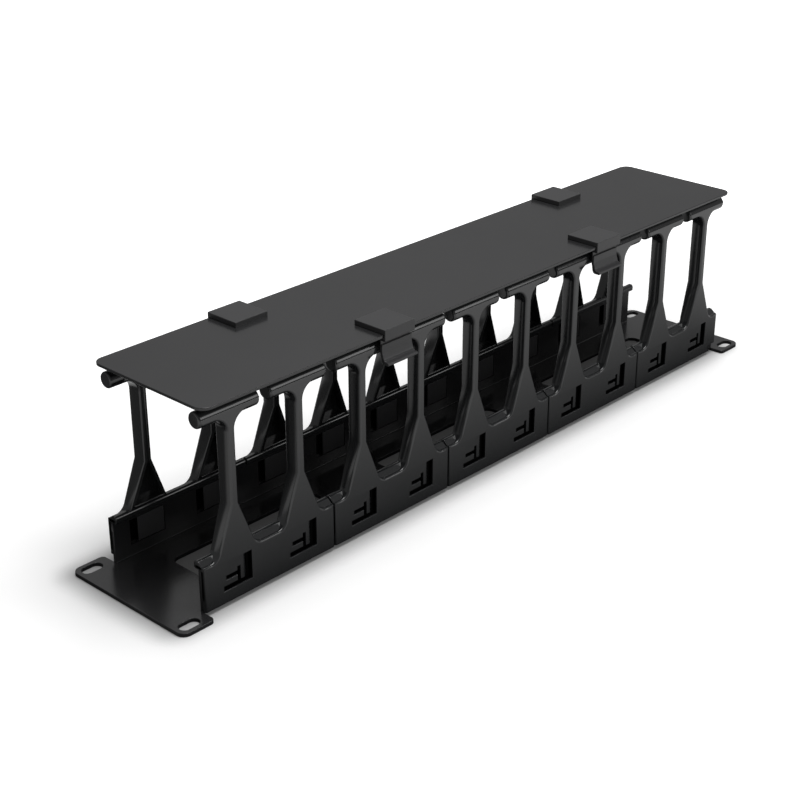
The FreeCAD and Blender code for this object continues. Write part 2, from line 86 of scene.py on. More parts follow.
@dataclass(frozen=True)
class Seat:
    """A plane to draw on: an origin and two unit directions, right and up."""

    origin: Triple
    right: Triple
    up: Triple

    def place(self, flat: np.ndarray, depth: np.ndarray) -> np.ndarray:
        """Turn drawn points into space.

        A point is origin + a * right + b * up - depth * normal, and the normal is
        right x up, so depth runs into the material.

        Args:
            flat: Drawn points, the last axis being (a, b).
            depth: Depth of each point under the plane.

        Returns:
            Points whose last axis is (x, y, z), in millimetres.
        """
        right, up = np.array(self.right, float), np.array(self.up, float)
        normal = np.cross(right, up)
        return (
            np.array(self.origin, float)
            + flat[..., :1] * right
            + flat[..., 1:] * up
            - depth[..., None] * normal
        )


def outline(corners: Sequence[Corner], turn: float = 9.0) -> np.ndarray:
    """Draw a closed loop of straight runs with some rounded corners.

    A corner (a, b, radius) becomes an arc that touches both runs: its centre lies
    on the bisector at radius / sin(half angle), and its points are spaced evenly.

    Args:
        corners: (a, b) or (a, b, radius) in order round the loop.
        turn: Degrees from one point of an arc to the next.

    Returns:
        The loop's points, anticlockwise.
    """
    marks = np.array([corner[:2] for corner in corners], float)
    runs = []
    for index, corner in enumerate(corners):
        here = marks[index]
        if len(corner) < 3:
            runs.append(here[None])
            continue
        back = marks[index - 1] - here
        ahead = marks[(index + 1) % len(corners)] - here
        back /= np.linalg.norm(back)
        ahead /= np.linalg.norm(ahead)
        half = math.acos(float(np.clip(back @ ahead, -1, 1))) / 2
        middle = (back + ahead) / np.linalg.norm(back + ahead)
        centre = here + middle * corner[2] / math.sin(half)
        start = here + back * corner[2] / math.tan(half) - centre
        end = here + ahead * corner[2] / math.tan(half) - centre
        first = math.atan2(start[1], start[0])
        sweep = (math.atan2(end[1], end[0]) - first + math.pi) % (2 * math.pi) - math.pi
        count = max(2, int(abs(math.degrees(sweep)) / turn) + 1)
        angles = first + sweep * np.linspace(0, 1, count + 1)
        runs.append(centre + corner[2] * np.column_stack([np.cos(angles), np.sin(angles)]))
    loop = np.concatenate(runs)
    return loop if signed_area(loop) > 0 else loop[::-1]


def rectangle(low: Pair, high: Pair, *radius: float, turn: float = 9.0) -> np.ndarray:
    """Draw a rectangle between two corners, rounded if a radius is given."""
    (left, under), (right, over) = low, high
    corners = [(left, under), (right, under), (right, over), (left, over)]
    return outline([(*corner, *radius) for corner in corners], turn)


def circle(a: float, b: float, radius: float, count: int = 48) -> np.ndarray:
    """Draw a circle as count points about (a, b)."""
    angles = np.linspace(0, 2 * math.pi, count, endpoint=False)
    return np.column_stack([a + radius * np.cos(angles), b + radius * np.sin(angles)])


def slot(a: float, b: float, length: float, width: float, count: int = 16) -> np.ndarray:
    """Draw a slot with half round ends along a, as two half circles."""
    angles = np.linspace(-math.pi / 2, math.pi / 2, count)
    reach, radius = (length - width) / 2, width / 2
    right = np.column_stack([reach + radius * np.cos(angles), radius * np.sin(angles)])
    return np.concatenate([right, -right]) + (a, b)


def mirrored(side: Sequence[Corner], middle: float) -> list[Corner]:
    """List the corners of a right side and, in turn, of its mirror image."""
    right = [(middle + a, *rest) for a, *rest in side]
    return right + [(middle - a, *rest) for a, *rest in reversed(side)]


def signed_area(loop: np.ndarray) -> float:
    """Half the sum of the cross products round the loop, positive if anticlockwise."""
    ahead = np.roll(loop, -1, 0)
    return float((loop[:, 0] * ahead[:, 1] - ahead[:, 0] * loop[:, 1]).sum() / 2)


def mitres(loop: np.ndarray) -> np.ndarray:
    """Work out how each point moves when its loop shrinks by one.

    With left normals n1 and n2 of the runs before and after a point, the move is
    (n1 + n2) / (1 + n1 . n2), which keeps both runs parallel to themselves.
    """
    ahead = np.roll(loop, -1, 0) - loop
    ahead /= np.linalg.norm(ahead, axis=1, keepdims=True)
    back = np.roll(ahead, 1, 0)
    after = np.column_stack([-ahead[:, 1], ahead[:, 0]])
    before = np.column_stack([-back[:, 1], back[:, 0]])
    return (before + after) / (1 + (before * after).sum(1))[:, None]


def ring_faces(rings: int, count: int) -> np.ndarray:
    """Index the quads between closed rings of count points, stacked one by one."""
    ring, point = np.meshgrid(np.arange(rings - 1), np.arange(count), indexing="ij")
    here, nxt = ring * count + point, ring * count + (point + 1) % count
    return np.stack([here, here + count, nxt + count, nxt], -1).reshape(-1, 4)


def fill(loops: Sequence[np.ndarray], facing: float) -> np.ndarray:
    """Cut a flat face with holes into triangles.

    Args:
        loops: The outer loop, then its holes.
        facing: 1 to turn the triangles anticlockwise, -1 clockwise.

    Returns:
        Triangles as indices into the loops, one after the other.
    """
    triangles = np.array(
        tessellate_polygon([[Vector((*point, 0)) for point in loop] for loop in loops]), int
    ).reshape(-1, 3)
    corner = np.concatenate(loops)[triangles]
    turn = np.cross(corner[:, 1] - corner[:, 0], corner[:, 2] - corner[:, 0])
    kept = np.abs(turn) > SLIVER
    triangles, turn = triangles[kept], turn[kept]
    triangles[turn * facing < 0] = triangles[turn * facing < 0][:, ::-1]
    return triangles


@dataclass(frozen=True)
class Draft:
    """The lean of a moulding's sides away from the ridge where its mould parts.

    Below the height `above` nothing leans, and beyond `within` from the middle the
    sides only sink.
    """

    ridge: float
    ahead: float
    behind: float
    above: float
    within: float

    def inset(self, depth: np.ndarray) -> np.ndarray:
        """Shrink by the slope times the distance from the ridge, on either side."""
        before = np.maximum(self.ridge - depth, 0)
        after = np.maximum(depth - self.ridge, 0)
        return self.ahead * before + self.behind * after

    def shift(self, loop: np.ndarray) -> np.ndarray:
        """Work out how each point of a loop moves for an inset of one."""
        shift = mitres(loop)
        shift[loop[:, 1] < self.above] = 0
        shift[np.abs(loop[:, 0]) > self.within, 0] = 0
        return shift


@dataclass(frozen=True)
class Edge:
    """One loop of a slab, with the radius of its front edge, one or one for each point."""

    loop: np.ndarray
    radius: np.ndarray | float = 0.0
    back: float = 0.0
    floor: float | None = None
    draft: Draft | None = None

    def rings(
        self, start: float, end: np.ndarray, turned: bool, steps: int
    ) -> tuple[np.ndarray, np.ndarray]:
        """Carry the loop from the front face to the back face or the pocket's floor.

        With t from 0 to 90 degrees a round edge of radius r goes inwards by
        r (1 - sin t) and down by r (1 - cos t), and the back edge repeats it upside
        down. A draft adds its own inset at every depth.

        Args:
            start: Depth of the front face.
            end: Depth of the back face at each point.
            turned: Whether the loop bounds a hole.
            steps: Faces across each round edge.

        Returns:
            The loop at each ring and the depth of each of its points.
        """
        way = -1 if turned else 1
        loop = self.loop[::way]
        far = end[::way]
        radius = np.broadcast_to(self.radius, len(loop)).astype(float)[::way]
        none = 0 * radius
        t = np.linspace(0, math.pi / 2, steps + 1)[:, None]
        inset = [radius * (1 - np.sin(t))]
        depth = [start + radius * (1 - np.cos(t))]
        if self.floor is not None:
            inset.append(none[None])
            depth.append(none[None] + self.floor)
        else:
            if self.draft is not None and start < self.draft.ridge < float(far.min()):
                inset.append(none[None])
                depth.append(none[None] + self.draft.ridge)
            inset.append(self.back * (1 - np.sin(t[::-1])) + none)
            depth.append(far - self.back * (1 - np.cos(t[::-1])))
        depths = np.concatenate(depth)
        rings = loop + np.concatenate(inset)[..., None] * mitres(loop)
        if self.draft is not None:
            rings = rings + self.draft.inset(depths)[..., None] * self.draft.shift(loop)
        return rings, depths


def add_object(name: str, data: ID) -> Object:
    """Make an object of some data and put it in the scene."""
    thing = bpy.data.objects.new(name, data)
    bpy.context.scene.collection.objects.link(thing)
    return thing


class Shell:
    """The mesh of one piece, put together from closed surfaces."""

    def __init__(self) -> None:
        """Start with no surface."""
        self.points: list[np.ndarray] = []
        self.quads: list[np.ndarray] = []
        self.triangles: list[np.ndarray] = []
        self.count = 0

    def add(self, points: np.ndarray, quads: np.ndarray, triangles: np.ndarray) -> None:
        """Add a surface whose faces count from its own first point."""
        self.points.append(points.reshape(-1, 3))
        self.quads.append(quads + self.count)
        self.triangles.append(triangles + self.count)
        self.count += len(self.points[-1])

    def slab(
        self,
        seat: Seat,
        outer: Edge,
        start: float,
        end: float | Callable[[np.ndarray], np.ndarray],
        cuts: Sequence[Edge] = (),
        steps: int = 4,
    ) -> None:
        """Add a flat plate with round edges, holes and blind pockets.

        Args:
            seat: The plane that the plate is drawn on.
            outer: The plate's own outline.
            start: Depth of its front face.
            end: Depth of its back face, or a function of the height b that gives it.
            cuts: Loops cut into the front face; one with a floor is a pocket.
            steps: Faces across each round edge.
        """
        base = self.count
        fronts, backs, first_ids, last_ids = [], [], [], []
        for number, edge in enumerate((outer, *cuts)):
            height = edge.loop[:, 1]
            far = end(height) if callable(end) else np.full(len(height), float(end))
            rings, depth = edge.rings(start, far, number > 0, steps)
            size = len(height)
            last = (len(rings) - 1) * size
            first_ids.append(self.count - base + np.arange(size))
            fronts.append(rings[0])
            floor = np.empty((0, 3), int)
            if edge.floor is None:
                last_ids.append(self.count - base + last + np.arange(size))
                backs.append(rings[-1])
            else:
                floor = fill([rings[-1]], 1) + last
            self.add(seat.place(rings, depth), ring_faces(len(rings), size), floor)
        self.triangles.append(np.concatenate(first_ids)[fill(fronts, 1)] + base)
        self.triangles.append(np.concatenate(last_ids)[fill(backs, -1)] + base)

    def build(self, name: str, body: str, finish: Material) -> Object:
        """Make the object that stands for a node.

        Args:
            name: Name of the node that it replaces.
            body: Body that it rides on.
            finish: Material of the whole piece.

        Returns:
            The finished object, its place in its mesh.
        """
        mesh = bpy.data.meshes.new(name + "_shell")
        faces = np.concatenate(self.quads).tolist() + np.concatenate(self.triangles).tolist()
        mesh.from_pydata((np.concatenate(self.points) * MM).tolist(), [], faces)
        work = bmesh.new()
        work.from_mesh(mesh)
        bmesh.ops.dissolve_degenerate(work, edges=work.edges, dist=MERGE)
        work.to_mesh(mesh)
        work.free()
        mesh.materials.append(finish)
        mesh.shade_smooth()
        mesh.set_sharp_from_angle(angle=math.radians(SHARP))
        piece = add_object(name + "_dressed", mesh)
        even = piece.modifiers.new("flat_faces_stay_flat", "WEIGHTED_NORMAL")
        even.keep_sharp = True
        even.weight = FLAT_WEIGHT
        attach(piece, body)
        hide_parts(name)
        mesh.calc_loop_triangles()
        LOG.info("%s: %d triangles on body %s", piece.name, len(mesh.loop_triangles), body)
        return piece


def linear(code: str) -> tuple[float, float, float, float]:
    """Turn an sRGB hex colour into linear light.

    A channel c is c / 12.92 up to 0.04045 and ((c + 0.055) / 1.055) ** 2.4 above.
    """
    channels = np.array([int(code[i:i + 2], 16) for i in (1, 3, 5)]) / 255
    light = np.where(channels <= 0.04045, channels / 12.92, ((channels + 0.055) / 1.055) ** 2.4)
    return (*light.tolist(), 1.0)


def add_node(
    tree: NodeTree, kind: str, inputs: Inputs | None = None, **settings: object
) -> Node:
    """Add a shader node with its settings, values and links.

    Args:
        tree: Node tree that it goes into.
        kind: Blender's name of the node, without ShaderNode in front.
        inputs: Value of each input, or the socket or node that feeds it. A node
            feeds it from its first output.
        **settings: Properties of the node.

    Returns:
        The new node.
    """
    node = tree.nodes.new("ShaderNode" + kind)
    for name, value in settings.items():
        setattr(node, name, value)
    for key, value in (inputs or {}).items():
        if isinstance(value, Node):
            value = value.outputs[0]
        if isinstance(value, NodeSocket):
            tree.links.new(value, node.inputs[key])
        else:
            node.inputs[key].default_value = value
    return node


def start_material(name: str) -> tuple[Material, NodeTree, NodeSocket]:
    """Make an empty material, and give its tree and the place in Object coordinates."""
    material = bpy.data.materials.new(name)
    material.use_nodes = True
    tree = material.node_tree
    tree.nodes.clear()
    return material, tree, add_node(tree, "TexCoord").outputs["Object"]


def between(tree: NodeTree, value: NodeSocket, band: Pair) -> Node:
    """Mark with 1 where a length lies in a band given in millimetres, else with 0."""
    above = add_node(tree, "Math", {0: value, 1: band[0] * MM}, operation="GREATER_THAN")
    below = add_node(tree, "Math", {0: value, 1: band[1] * MM}, operation="LESS_THAN")
    return add_node(tree, "Math", {0: above, 1: below}, operation="MULTIPLY")


@dataclass(frozen=True)
class Finish(ABC):
    """What the finishes share: two blacks, a relief and a sheen that swings a little."""

    name: str
    light: str
    dark: str
    roughness: float
    swing: float
    ior: float
    bump: float
    relief_mm: float

    @abstractmethod
    def surface(self, tree: NodeTree, place: NodeSocket) -> Inputs:
        """Work out the inputs of the surface from the place in Object coordinates."""

    def coat(self, tree: NodeTree, drift: Node, sheen: Node, height: Node) -> Inputs:
        """Work out the inputs that every surface starts from.

        Args:
            tree: Node tree of the material.
            drift: Node that blends from the dark black to the light one.
            sheen: Node that the roughness swings with.
            height: Node that the relief follows.

        Returns:
            Value, node or socket of each input.
        """
        colour = add_node(tree, "Mix", {0: drift, 6: linear(self.dark), 7: linear(self.light)},
                          data_type="RGBA")
        gloss = add_node(tree, "MapRange", {
            "Value": sheen, "To Min": self.roughness - self.swing,
            "To Max": self.roughness + self.swing,
        })
        relief = add_node(tree, "Bump", {
            "Strength": self.bump, "Distance": self.relief_mm * MM, "Height": height,
        })
        return {"Base Color": colour.outputs[2], "Roughness": gloss, "IOR": self.ior,
                "Normal": relief}

    def material(self) -> Material:
        """Build the material, named for the finish."""
        material, tree, place = start_material(self.name)
        body = add_node(tree, "BsdfPrincipled", self.surface(tree, place))
        add_node(tree, "OutputMaterial", {"Surface": body})
        return material


@dataclass(frozen=True)
class MouldedPlastic(Finish):
    """Black polycarbonate blend, injection moulded in a polished mould.

    Polish leaves thin sharp highlights on every round edge, a ripple of 1.5 mm, as large as the
    real one, bends them a little, and the colour drifts where the melt flowed. The latch slots
    are darkened as painted shade. The hooks' faces are drawn matt and lighter.
    """

    name: str = "moulded_pc_abs_black"
    light: str = "#292a2b"
    dark: str = "#232425"
    roughness: float = 0.13
    swing: float = 0.02
    ior: float = 1.58
    bump: float = 0.012
    relief_mm: float = 0.05
    drift_per_m: float = 45.0
    grain_mm: float = 1.5
    # Painted shade in the latch slots: a near black, and a specular level that falls from open
    # to sunk.
    painted_slot_shade: str = "#040404"
    slot_shade_speculars: Pair = (0.5, 0.02)
    hook: str = "#3e3e3f"
    hook_roughness: float = 0.5
    hook_face: float = 33.6
    hook_band: Pair = (8.0, 22.8)
    latch_depths: Pair = (37.25, 36.2)
    latch_band: Pair = (8.8, 25.2)

    def surface(self, tree: NodeTree, place: NodeSocket) -> Inputs:
        """Lay the plastic with painted shade in its latch slots and its lighter, matt hooks."""
        drift = add_node(tree, "TexNoise",
                         {"Vector": place, "Scale": self.drift_per_m, "Detail": 2.0})
        grain = add_node(tree, "TexNoise",
                         {"Vector": place, "Scale": 1 / (self.grain_mm * MM), "Detail": 1.0})
        coat = self.coat(tree, drift, grain, grain)
        axes = add_node(tree, "SeparateXYZ", {0: place})
        across = add_node(tree, "Math", {0: axes.outputs["Y"]}, operation="ABSOLUTE")
        height = axes.outputs["Z"]
        # The walls and floor of the latch slots lie under the outer face, in a band of height.
        # Little light finds its way in there, so their colour is darkened and their specular
        # turned down there as painted shade.
        sunk = add_node(tree, "MapRange", {
            "Value": across, "From Min": self.latch_depths[0] * MM,
            "From Max": self.latch_depths[1] * MM,
        })
        shade = add_node(tree, "Math", {0: between(tree, height, self.latch_band), 1: sunk},
                         operation="MULTIPLY")
        inside = add_node(tree, "Math", {0: across, 1: self.hook_face * MM},
                          operation="LESS_THAN")
        matt = add_node(tree, "Math", {0: between(tree, height, self.hook_band), 1: inside},
                        operation="MULTIPLY")
        tone = coat["Base Color"]
        for share, colour in ((shade, self.painted_slot_shade), (matt, self.hook)):
            tone = add_node(tree, "Mix", {0: share, 6: tone, 7: linear(colour)},
                            data_type="RGBA").outputs[2]
        gloss = add_node(tree, "Mix", {0: matt, 2: coat["Roughness"], 3: self.hook_roughness},
                         data_type="FLOAT")
        shine = add_node(tree, "MapRange", {
            "Value": shade, "To Min": self.slot_shade_speculars[0], "To Max": self.slot_shade_speculars[1],
        })
        return coat | {"Base Color": tone, "Roughness": gloss, "Specular IOR Level": shine}


@dataclass(frozen=True)
class PowderCoat(Finish):
    """Black polyester powder coat on sheet steel, oven cured.

    The melted grains leave a low orange peel of 1.4 mm, as large as the real one,
    under a satin sheen. The grains are 0.1 mm, drawn coarser, at 0.35 mm, to show.
    """

    name: str = "powder_coated_steel_black"
    light: str = "#2a2a2b"
    dark: str = "#242425"
    roughness: float = 0.22
    swing: float = 0.03
    ior: float = 1.5
    bump: float = 0.02
    relief_mm: float = 0.05
    drift_per_m: float = 30.0
    grain_mm: float = 0.35
    peel_mm: float = 1.4

    def surface(self, tree: NodeTree, place: NodeSocket) -> Inputs:
        """Lay the coat with its grains on its orange peel."""
        drift, grain, peel = (
            add_node(tree, "TexNoise", {"Vector": place, "Scale": scale, "Detail": detail})
            for scale, detail in (
                (self.drift_per_m, 3.0),
                (1 / (self.grain_mm * MM), 1.0),
                (1 / (self.peel_mm * MM), 0.0),
            )
        )
        both = add_node(tree, "Math", {0: grain, 1: peel}, operation="ADD")
        return self.coat(tree, drift, peel, both)


@dataclass(frozen=True)
class ExtrudedPlastic(Finish):
    """Black plastic clip, extruded and cut to length.

    The die leaves faint straight lines along X and a duller sheen than the
    mouldings have. Lines 0.2 mm apart, drawn coarser, at 0.6 mm, to show.
    """

    name: str = "extruded_plastic_black"
    light: str = "#363637"
    dark: str = "#303031"
    roughness: float = 0.36
    swing: float = 0.04
    ior: float = 1.46
    bump: float = 0.03
    relief_mm: float = 0.04
    line_mm: float = 0.6
    stretch: Triple = (0.04, 1.0, 1.0)

    def surface(self, tree: NodeTree, place: NodeSocket) -> Inputs:
        """Lay the plastic with its lines, a pattern stretched along X."""
        along = add_node(tree, "Mapping", {"Vector": place, "Scale": self.stretch})
        lines = add_node(tree, "TexNoise",
                         {"Vector": along, "Scale": 1 / (self.line_mm * MM), "Detail": 1.0})
        return self.coat(tree, lines, lines, lines)


@dataclass
class BasePlate:
    """The bent steel channel with its ears, slots, cutouts and hook windows."""

    half_length: float = 241.3
    half_width: float = 44.0
    floor_half: float = 221.0
    sheet: float = 2.0
    ear_corner: float = 5.0
    inner_corner: float = 2.5
    flange_outer: float = 35.1
    flange_high: float = 24.9
    bend_outside: float = 2.5
    slot_places: Pair = (232.55, 38.1)
    slot_size: Pair = (12.0, 6.6)
    cutout_places: tuple[float, ...] = (-150.0, 0.0, 150.0)
    cutout_half: Triple = (50.0, 15.0, 5.0)
    window_half: float = 11.4
    window_span: Pair = (8.2, 22.6)
    pitch: float = 44.3
    fingers: int = 10
    bend_points: int = 9
    edge: float = 0.3

    def floor(self, shell: Shell) -> None:
        """Add the flat back plate with its ears, slots and cutouts."""
        bend = self.flange_outer - self.bend_outside
        quarter = [
            (self.floor_half, -bend),
            (self.floor_half, -self.half_width, self.inner_corner),
            (self.half_length, -self.half_width, self.ear_corner),
        ]
        turned = [(a, -b, *rest) for a, b, *rest in reversed(quarter)]
        right = quarter + turned
        left = [(-a, -b, *rest) for a, b, *rest in right]
        loop = outline(right + left)
        # The bend goes on from the plate's long sides, so nothing is rounded there.
        radius = np.where(np.abs(np.abs(loop[:, 1]) - bend) < NEAR, 0.0, self.edge)
        across, up = self.slot_places
        holes = [slot(x * across, y * up, *self.slot_size) for x in (-1, 1) for y in (-1, 1)]
        half_a, half_b, corner = self.cutout_half
        holes += [
            rectangle((middle - half_a, -half_b), (middle + half_a, half_b), corner)
            for middle in self.cutout_places
        ]
        cuts = [Edge(hole, self.edge) for hole in holes]
        seat = Seat((0, 0, self.sheet), (1, 0, 0), (0, 1, 0))
        shell.slab(seat, Edge(loop, radius), 0.0, self.sheet, cuts)

    def flange(self, shell: Shell, row: Row) -> None:
        """Add one flange with its row of hook windows, and the bend below it."""
        side = row.value
        seat = Seat((0, side * self.flange_outer, 0), (-side, 0, 0), (0, 0, 1))
        loop = rectangle((-self.floor_half, self.bend_outside),
                         (self.floor_half, self.flange_high))
        radius = np.where(loop[:, 1] > self.bend_outside + NEAR, self.edge, 0.0)
        low, high = self.window_span
        cuts = []
        for number in range(self.fingers):
            middle = (number - (self.fingers - 1) / 2) * self.pitch
            window = rectangle((middle - self.window_half, low),
                               (middle + self.window_half, high))
            cuts.append(Edge(window, self.edge))
        shell.slab(seat, Edge(loop, radius), 0.0, self.sheet, cuts)
        # The bend is a quarter ring: two arcs about one centre, carried along X.
        angles = np.linspace(0, math.pi / 2, self.bend_points)
        arc = np.column_stack([np.sin(angles), -np.cos(angles)])
        centre = np.array([self.flange_outer - self.bend_outside, self.bend_outside])
        inside = self.bend_outside - self.sheet
        ring = np.concatenate([
            centre + self.bend_outside * arc, (centre + inside * arc)[::-1],
        ])
        seat = Seat((self.floor_half * side, 0, 0), (0, side, 0), (0, 0, 1))
        shell.slab(seat, Edge(ring, 0.0), 0.0, 2 * self.floor_half)

    def dress(self, finish: Material) -> None:
        """Build the plate in its coat."""
        shell = Shell()
        self.floor(shell)
        for row in Row:
            self.flange(shell, row)
        shell.build("base_plate", "base", finish)


@dataclass
class CoverPlate:
    """The flat steel cover with rounded corners."""

    half_length: float = 219.5
    half_width: float = 41.4
    corner: float = 6.0
    corner_turn: float = 6.0
    top: float = 112.2
    sheet: float = 1.6
    edge: float = 0.35

    def dress(self, finish: Material) -> None:
        """Build the plate in its coat."""
        shell = Shell()
        a, b = self.half_length, self.half_width
        loop = rectangle((-a, -b), (a, b), self.corner, turn=self.corner_turn)
        seat = Seat((0, 0, self.top), (1, 0, 0), (0, 1, 0))
        shell.slab(seat, Edge(loop, self.edge, back=self.edge), 0.0, self.sheet)
        shell.build("cover_plate", "cover", finish)


@dataclass
class FingerModule:
    """One moulding of two fingers on a wall with a rolled bead.

    It is drawn as seen from outside: a runs to the right, z up and depth inwards.
    """

    row_half: float = 37.5
    pitch: float = 44.3
    half: float = 43.9
    foot_low: float = 2.1
    ledge_low: float = 25.3
    ledge_high: float = 27.4
    web: float = 2.0
    wall: float = 2.3
    rim_depth: float = 9.0
    foot_depth: float = 7.0
    foot_half: float = 12.9
    stem_half: float = 2.6
    knee: float = 54.5
    gap_corner: float = 6.0
    head_half: float = 10.8
    bar_half: float = 18.75
    bar_low: float = 101.0
    bar_high: float = 105.2
    bar_corner: float = 8.0
    bar_tip: float = 2.4
    rod: Triple = (4.5, 103.7, 4.4)
    rod_edge: float = 1.1
    rim: float = 1.6
    channel: Pair = (30.3, 98.0)
    channel_rounds: Pair = (0.8, 0.6)
    bead: tuple[float, float, float, float] = (1.7, 4.5, 7.6, 29.7)
    bead_rounds: tuple[float, float, float, float] = (0.6, 2.0, 1.9, 1.1)
    bead_root: Pair = (0.6, 1.2)
    bead_turn: float = 12.0
    notch: Pair = (6.2, 4.2)
    hook: tuple[float, float, float, float] = (-11.2, 6.2, 8.4, 22.4)
    hook_depth: float = 4.4
    latch_side: Triple = (9.0, 6.4, 3.5)
    latch_reach: float = 9.7
    latch_rows: tuple[float, ...] = (9.0, 11.9, 15.0, 17.4, 19.6, 25.0)
    latch_bar: Pair = (-0.7, 1.3)
    latch_arm: float = 8.0
    latch_cut: float = 1.8
    gate: Triple = (43.4, 2.75, 0.15)
    gate_points: int = 32
    finger_edge: float = 1.3
    wall_edge: float = 0.5
    end_edge: float = 1.1
    rim_edge: float = 0.7
    latch_edge: float = 0.25
    parting: Triple = (4.2, 0.07, 0.08)
    lean_clear: Pair = (1.0, 0.1)
    overlap: float = 0.1
    middles: Pair = field(init=False)
    draft: Draft = field(init=False)

    def __post_init__(self) -> None:
        """Work out the middles of the two fingers and the lean of their sides."""
        self.middles = (-self.pitch / 2, self.pitch / 2)
        over, inside = self.lean_clear
        self.draft = Draft(*self.parting, self.ledge_low + over, self.half - inside)

    def fingers(self, reach: float, tip: float) -> list[Corner]:
        """List the corners of the two fingers from right to left, above the ledge.

        Args:
            reach: Half length of the bar at the finger's tip.
            tip: Radius of the bar's lower corners, 0 for sharp ones.

        Returns:
            The corners, anticlockwise.
        """
        side: list[Corner] = [
            (self.foot_half, self.ledge_high, self.gap_corner),
            (self.stem_half, self.knee),
            (self.stem_half, self.bar_low, self.bar_corner),
            (reach, self.bar_low, tip) if tip > 0 else (reach, self.bar_low),
            (reach, self.bar_high),
        ]
        corners: list[Corner] = []
        for middle in reversed(self.middles):
            corners += mirrored(side, middle)
        return corners

    def foot(self, notched: bool) -> list[Corner]:
        """List the corners of the wall's lower edge from left to right."""
        half, low = self.half, self.foot_low
        end = half - self.end_edge
        left = [(-half, low), (-end, low)]
        if not notched:
            return left + [(end, low), (half, low)]
        length, height = self.notch
        return left + [(half - length, low), (half - length, low + height), (half, low + height)]

    def latch(self, middle: float) -> np.ndarray:
        """Draw the outline of the sunk area round one latch tab."""
        deep, _, ramp = self.latch_side
        low, floor, arm_low, arm_high, bar_high, high = self.latch_rows
        left, right = self.latch_bar
        corners = [
            (-self.latch_reach, low), (deep, low), (deep, high), (ramp, high), (ramp, floor),
            (right, floor), (right, bar_high), (left, bar_high), (left, arm_high),
            (-self.latch_arm, arm_high), (-self.latch_arm, arm_low), (left, arm_low),
            (left, floor), (-self.latch_reach, floor),
        ]
        return outline([(middle + a, b) for a, b in corners])

    def skin(self, shell: Shell, seat: Seat, notched: bool) -> None:
        """Add the outer skin: wall, feet, webs and bars, with the latch pockets."""
        loop = outline(
            self.foot(notched) + [(self.half, self.ledge_high)]
            + self.fingers(self.bar_half, self.bar_tip) + [(-self.half, self.ledge_high)]
        )
        beside, height = np.abs(loop[:, 0]), loop[:, 1]
        on_finger = height > self.ledge_high + NEAR
        at_gap = (beside < self.half - NEAR) & (height > self.ledge_low)
        at_end = (beside > self.half - NEAR) & ~on_finger
        at_top = height > self.bar_high - NEAR
        radius = np.where(on_finger | at_gap, self.finger_edge, self.wall_edge)
        radius = np.where(at_end, self.end_edge, radius)
        radius = np.where(at_top, self.wall_edge, radius)
        pockets = []
        for middle in self.middles:
            cut = self.latch(middle)
            ramp_line = np.abs(cut[:, 0] - middle - self.latch_side[2]) < NEAR
            edge = np.where(ramp_line, 0.0, self.latch_edge)
            pockets.append(Edge(cut, edge, floor=self.latch_cut))
        face = Edge(loop, radius, draft=self.draft)
        shell.slab(seat, face, 0.0, self.web, pockets, FINE)

    def back_depth(self, height: np.ndarray) -> np.ndarray:
        """Give the depth of the rims: shallow up to the bead, full from the knee up."""
        span = [self.bead[3], self.knee]
        return np.interp(height, span, [self.foot_depth, self.rim_depth])

    def rims(self, shell: Shell, seat: Seat) -> None:
        """Add the rims and heads behind the skin, open where the channels are.

        A rim is as thick across the sloping sides of the foot as along the stem, so
        the channel's side moves in by the thickness times hypot(1, slope) there.
        """
        half, ledge = self.half, self.ledge_high
        loop = outline([
            (-half, self.ledge_low), (half, self.ledge_low), (half, ledge),
            *self.fingers(self.head_half, 0.0), (-half, ledge),
        ])
        slope = (self.foot_half - self.stem_half) / (self.knee - ledge)
        shift = self.rim * math.hypot(1, slope)
        low, high = self.channel
        low_round, high_round = self.channel_rounds
        low_half = self.foot_half - slope * (low - ledge) - shift
        inner = self.stem_half - self.rim
        bend = self.knee - (shift - self.rim) / slope
        side: list[Corner] = [(low_half, low, low_round), (inner, bend),
                              (inner, high, high_round)]
        cuts = []
        for middle in self.middles:
            cuts.append(Edge(outline(mirrored(side, middle)), back=-self.rim_edge))
        shell.slab(seat, Edge(loop, self.overlap, back=self.rim_edge, draft=self.draft),
                   self.web - self.overlap, self.back_depth, cuts)

    def across(self, seat: Seat, place: float) -> Seat:
        """Stand a plane across the row at a place: up first, then outwards."""
        end = np.array(seat.origin) + place * np.array(seat.right)
        return Seat(tuple(end), seat.up, tuple(np.cross(seat.right, seat.up)))

    def bead_and_wall(self, shell: Shell, seat: Seat, notched: bool) -> None:
        """Add the rolled bead along the top of the wall, and the wall's inner skin."""
        groove, crest, tip, high = self.bead
        low_round, crest_round, tip_round, under_round = self.bead_rounds
        below, root = self.bead_root
        section = outline([
            (self.ledge_high - below, -root),
            (self.ledge_high, -groove, low_round),
            (high, -crest, crest_round),
            (high, -tip, tip_round),
            (self.ledge_low, -tip, under_round),
            (self.ledge_low, -self.web),
            (self.ledge_low, -root),
        ], self.bead_turn)
        bead = Edge(section, self.wall_edge, back=self.wall_edge)
        shell.slab(self.across(seat, self.half), bead, 0.0, 2 * self.half)
        top = [(self.half, self.ledge_low), (-self.half, self.ledge_low)]
        wall = outline(self.foot(notched) + top)
        shell.slab(seat, Edge(wall, self.overlap), self.web - self.overlap, self.wall)

    def rods(self, shell: Shell, seat: Seat) -> None:
        """Add the round rod through the head of each finger."""
        depth, height, radius = self.rod
        ring = Edge(circle(height, -depth, radius), self.rod_edge, back=self.rod_edge)
        for middle in self.middles:
            end = self.across(seat, middle + self.bar_half)
            shell.slab(end, ring, 0.0, 2 * self.bar_half, steps=FINE)

    def hooks(self, shell: Shell, seat: Seat) -> None:
        """Add the hooks that pass through the windows of the flange."""
        left, right, low, high = self.hook
        for middle in self.middles:
            face = rectangle((middle + left, low), (middle + right, high))
            shell.slab(seat, Edge(face, back=self.rim_edge), self.wall - self.overlap,
                       self.hook_depth)

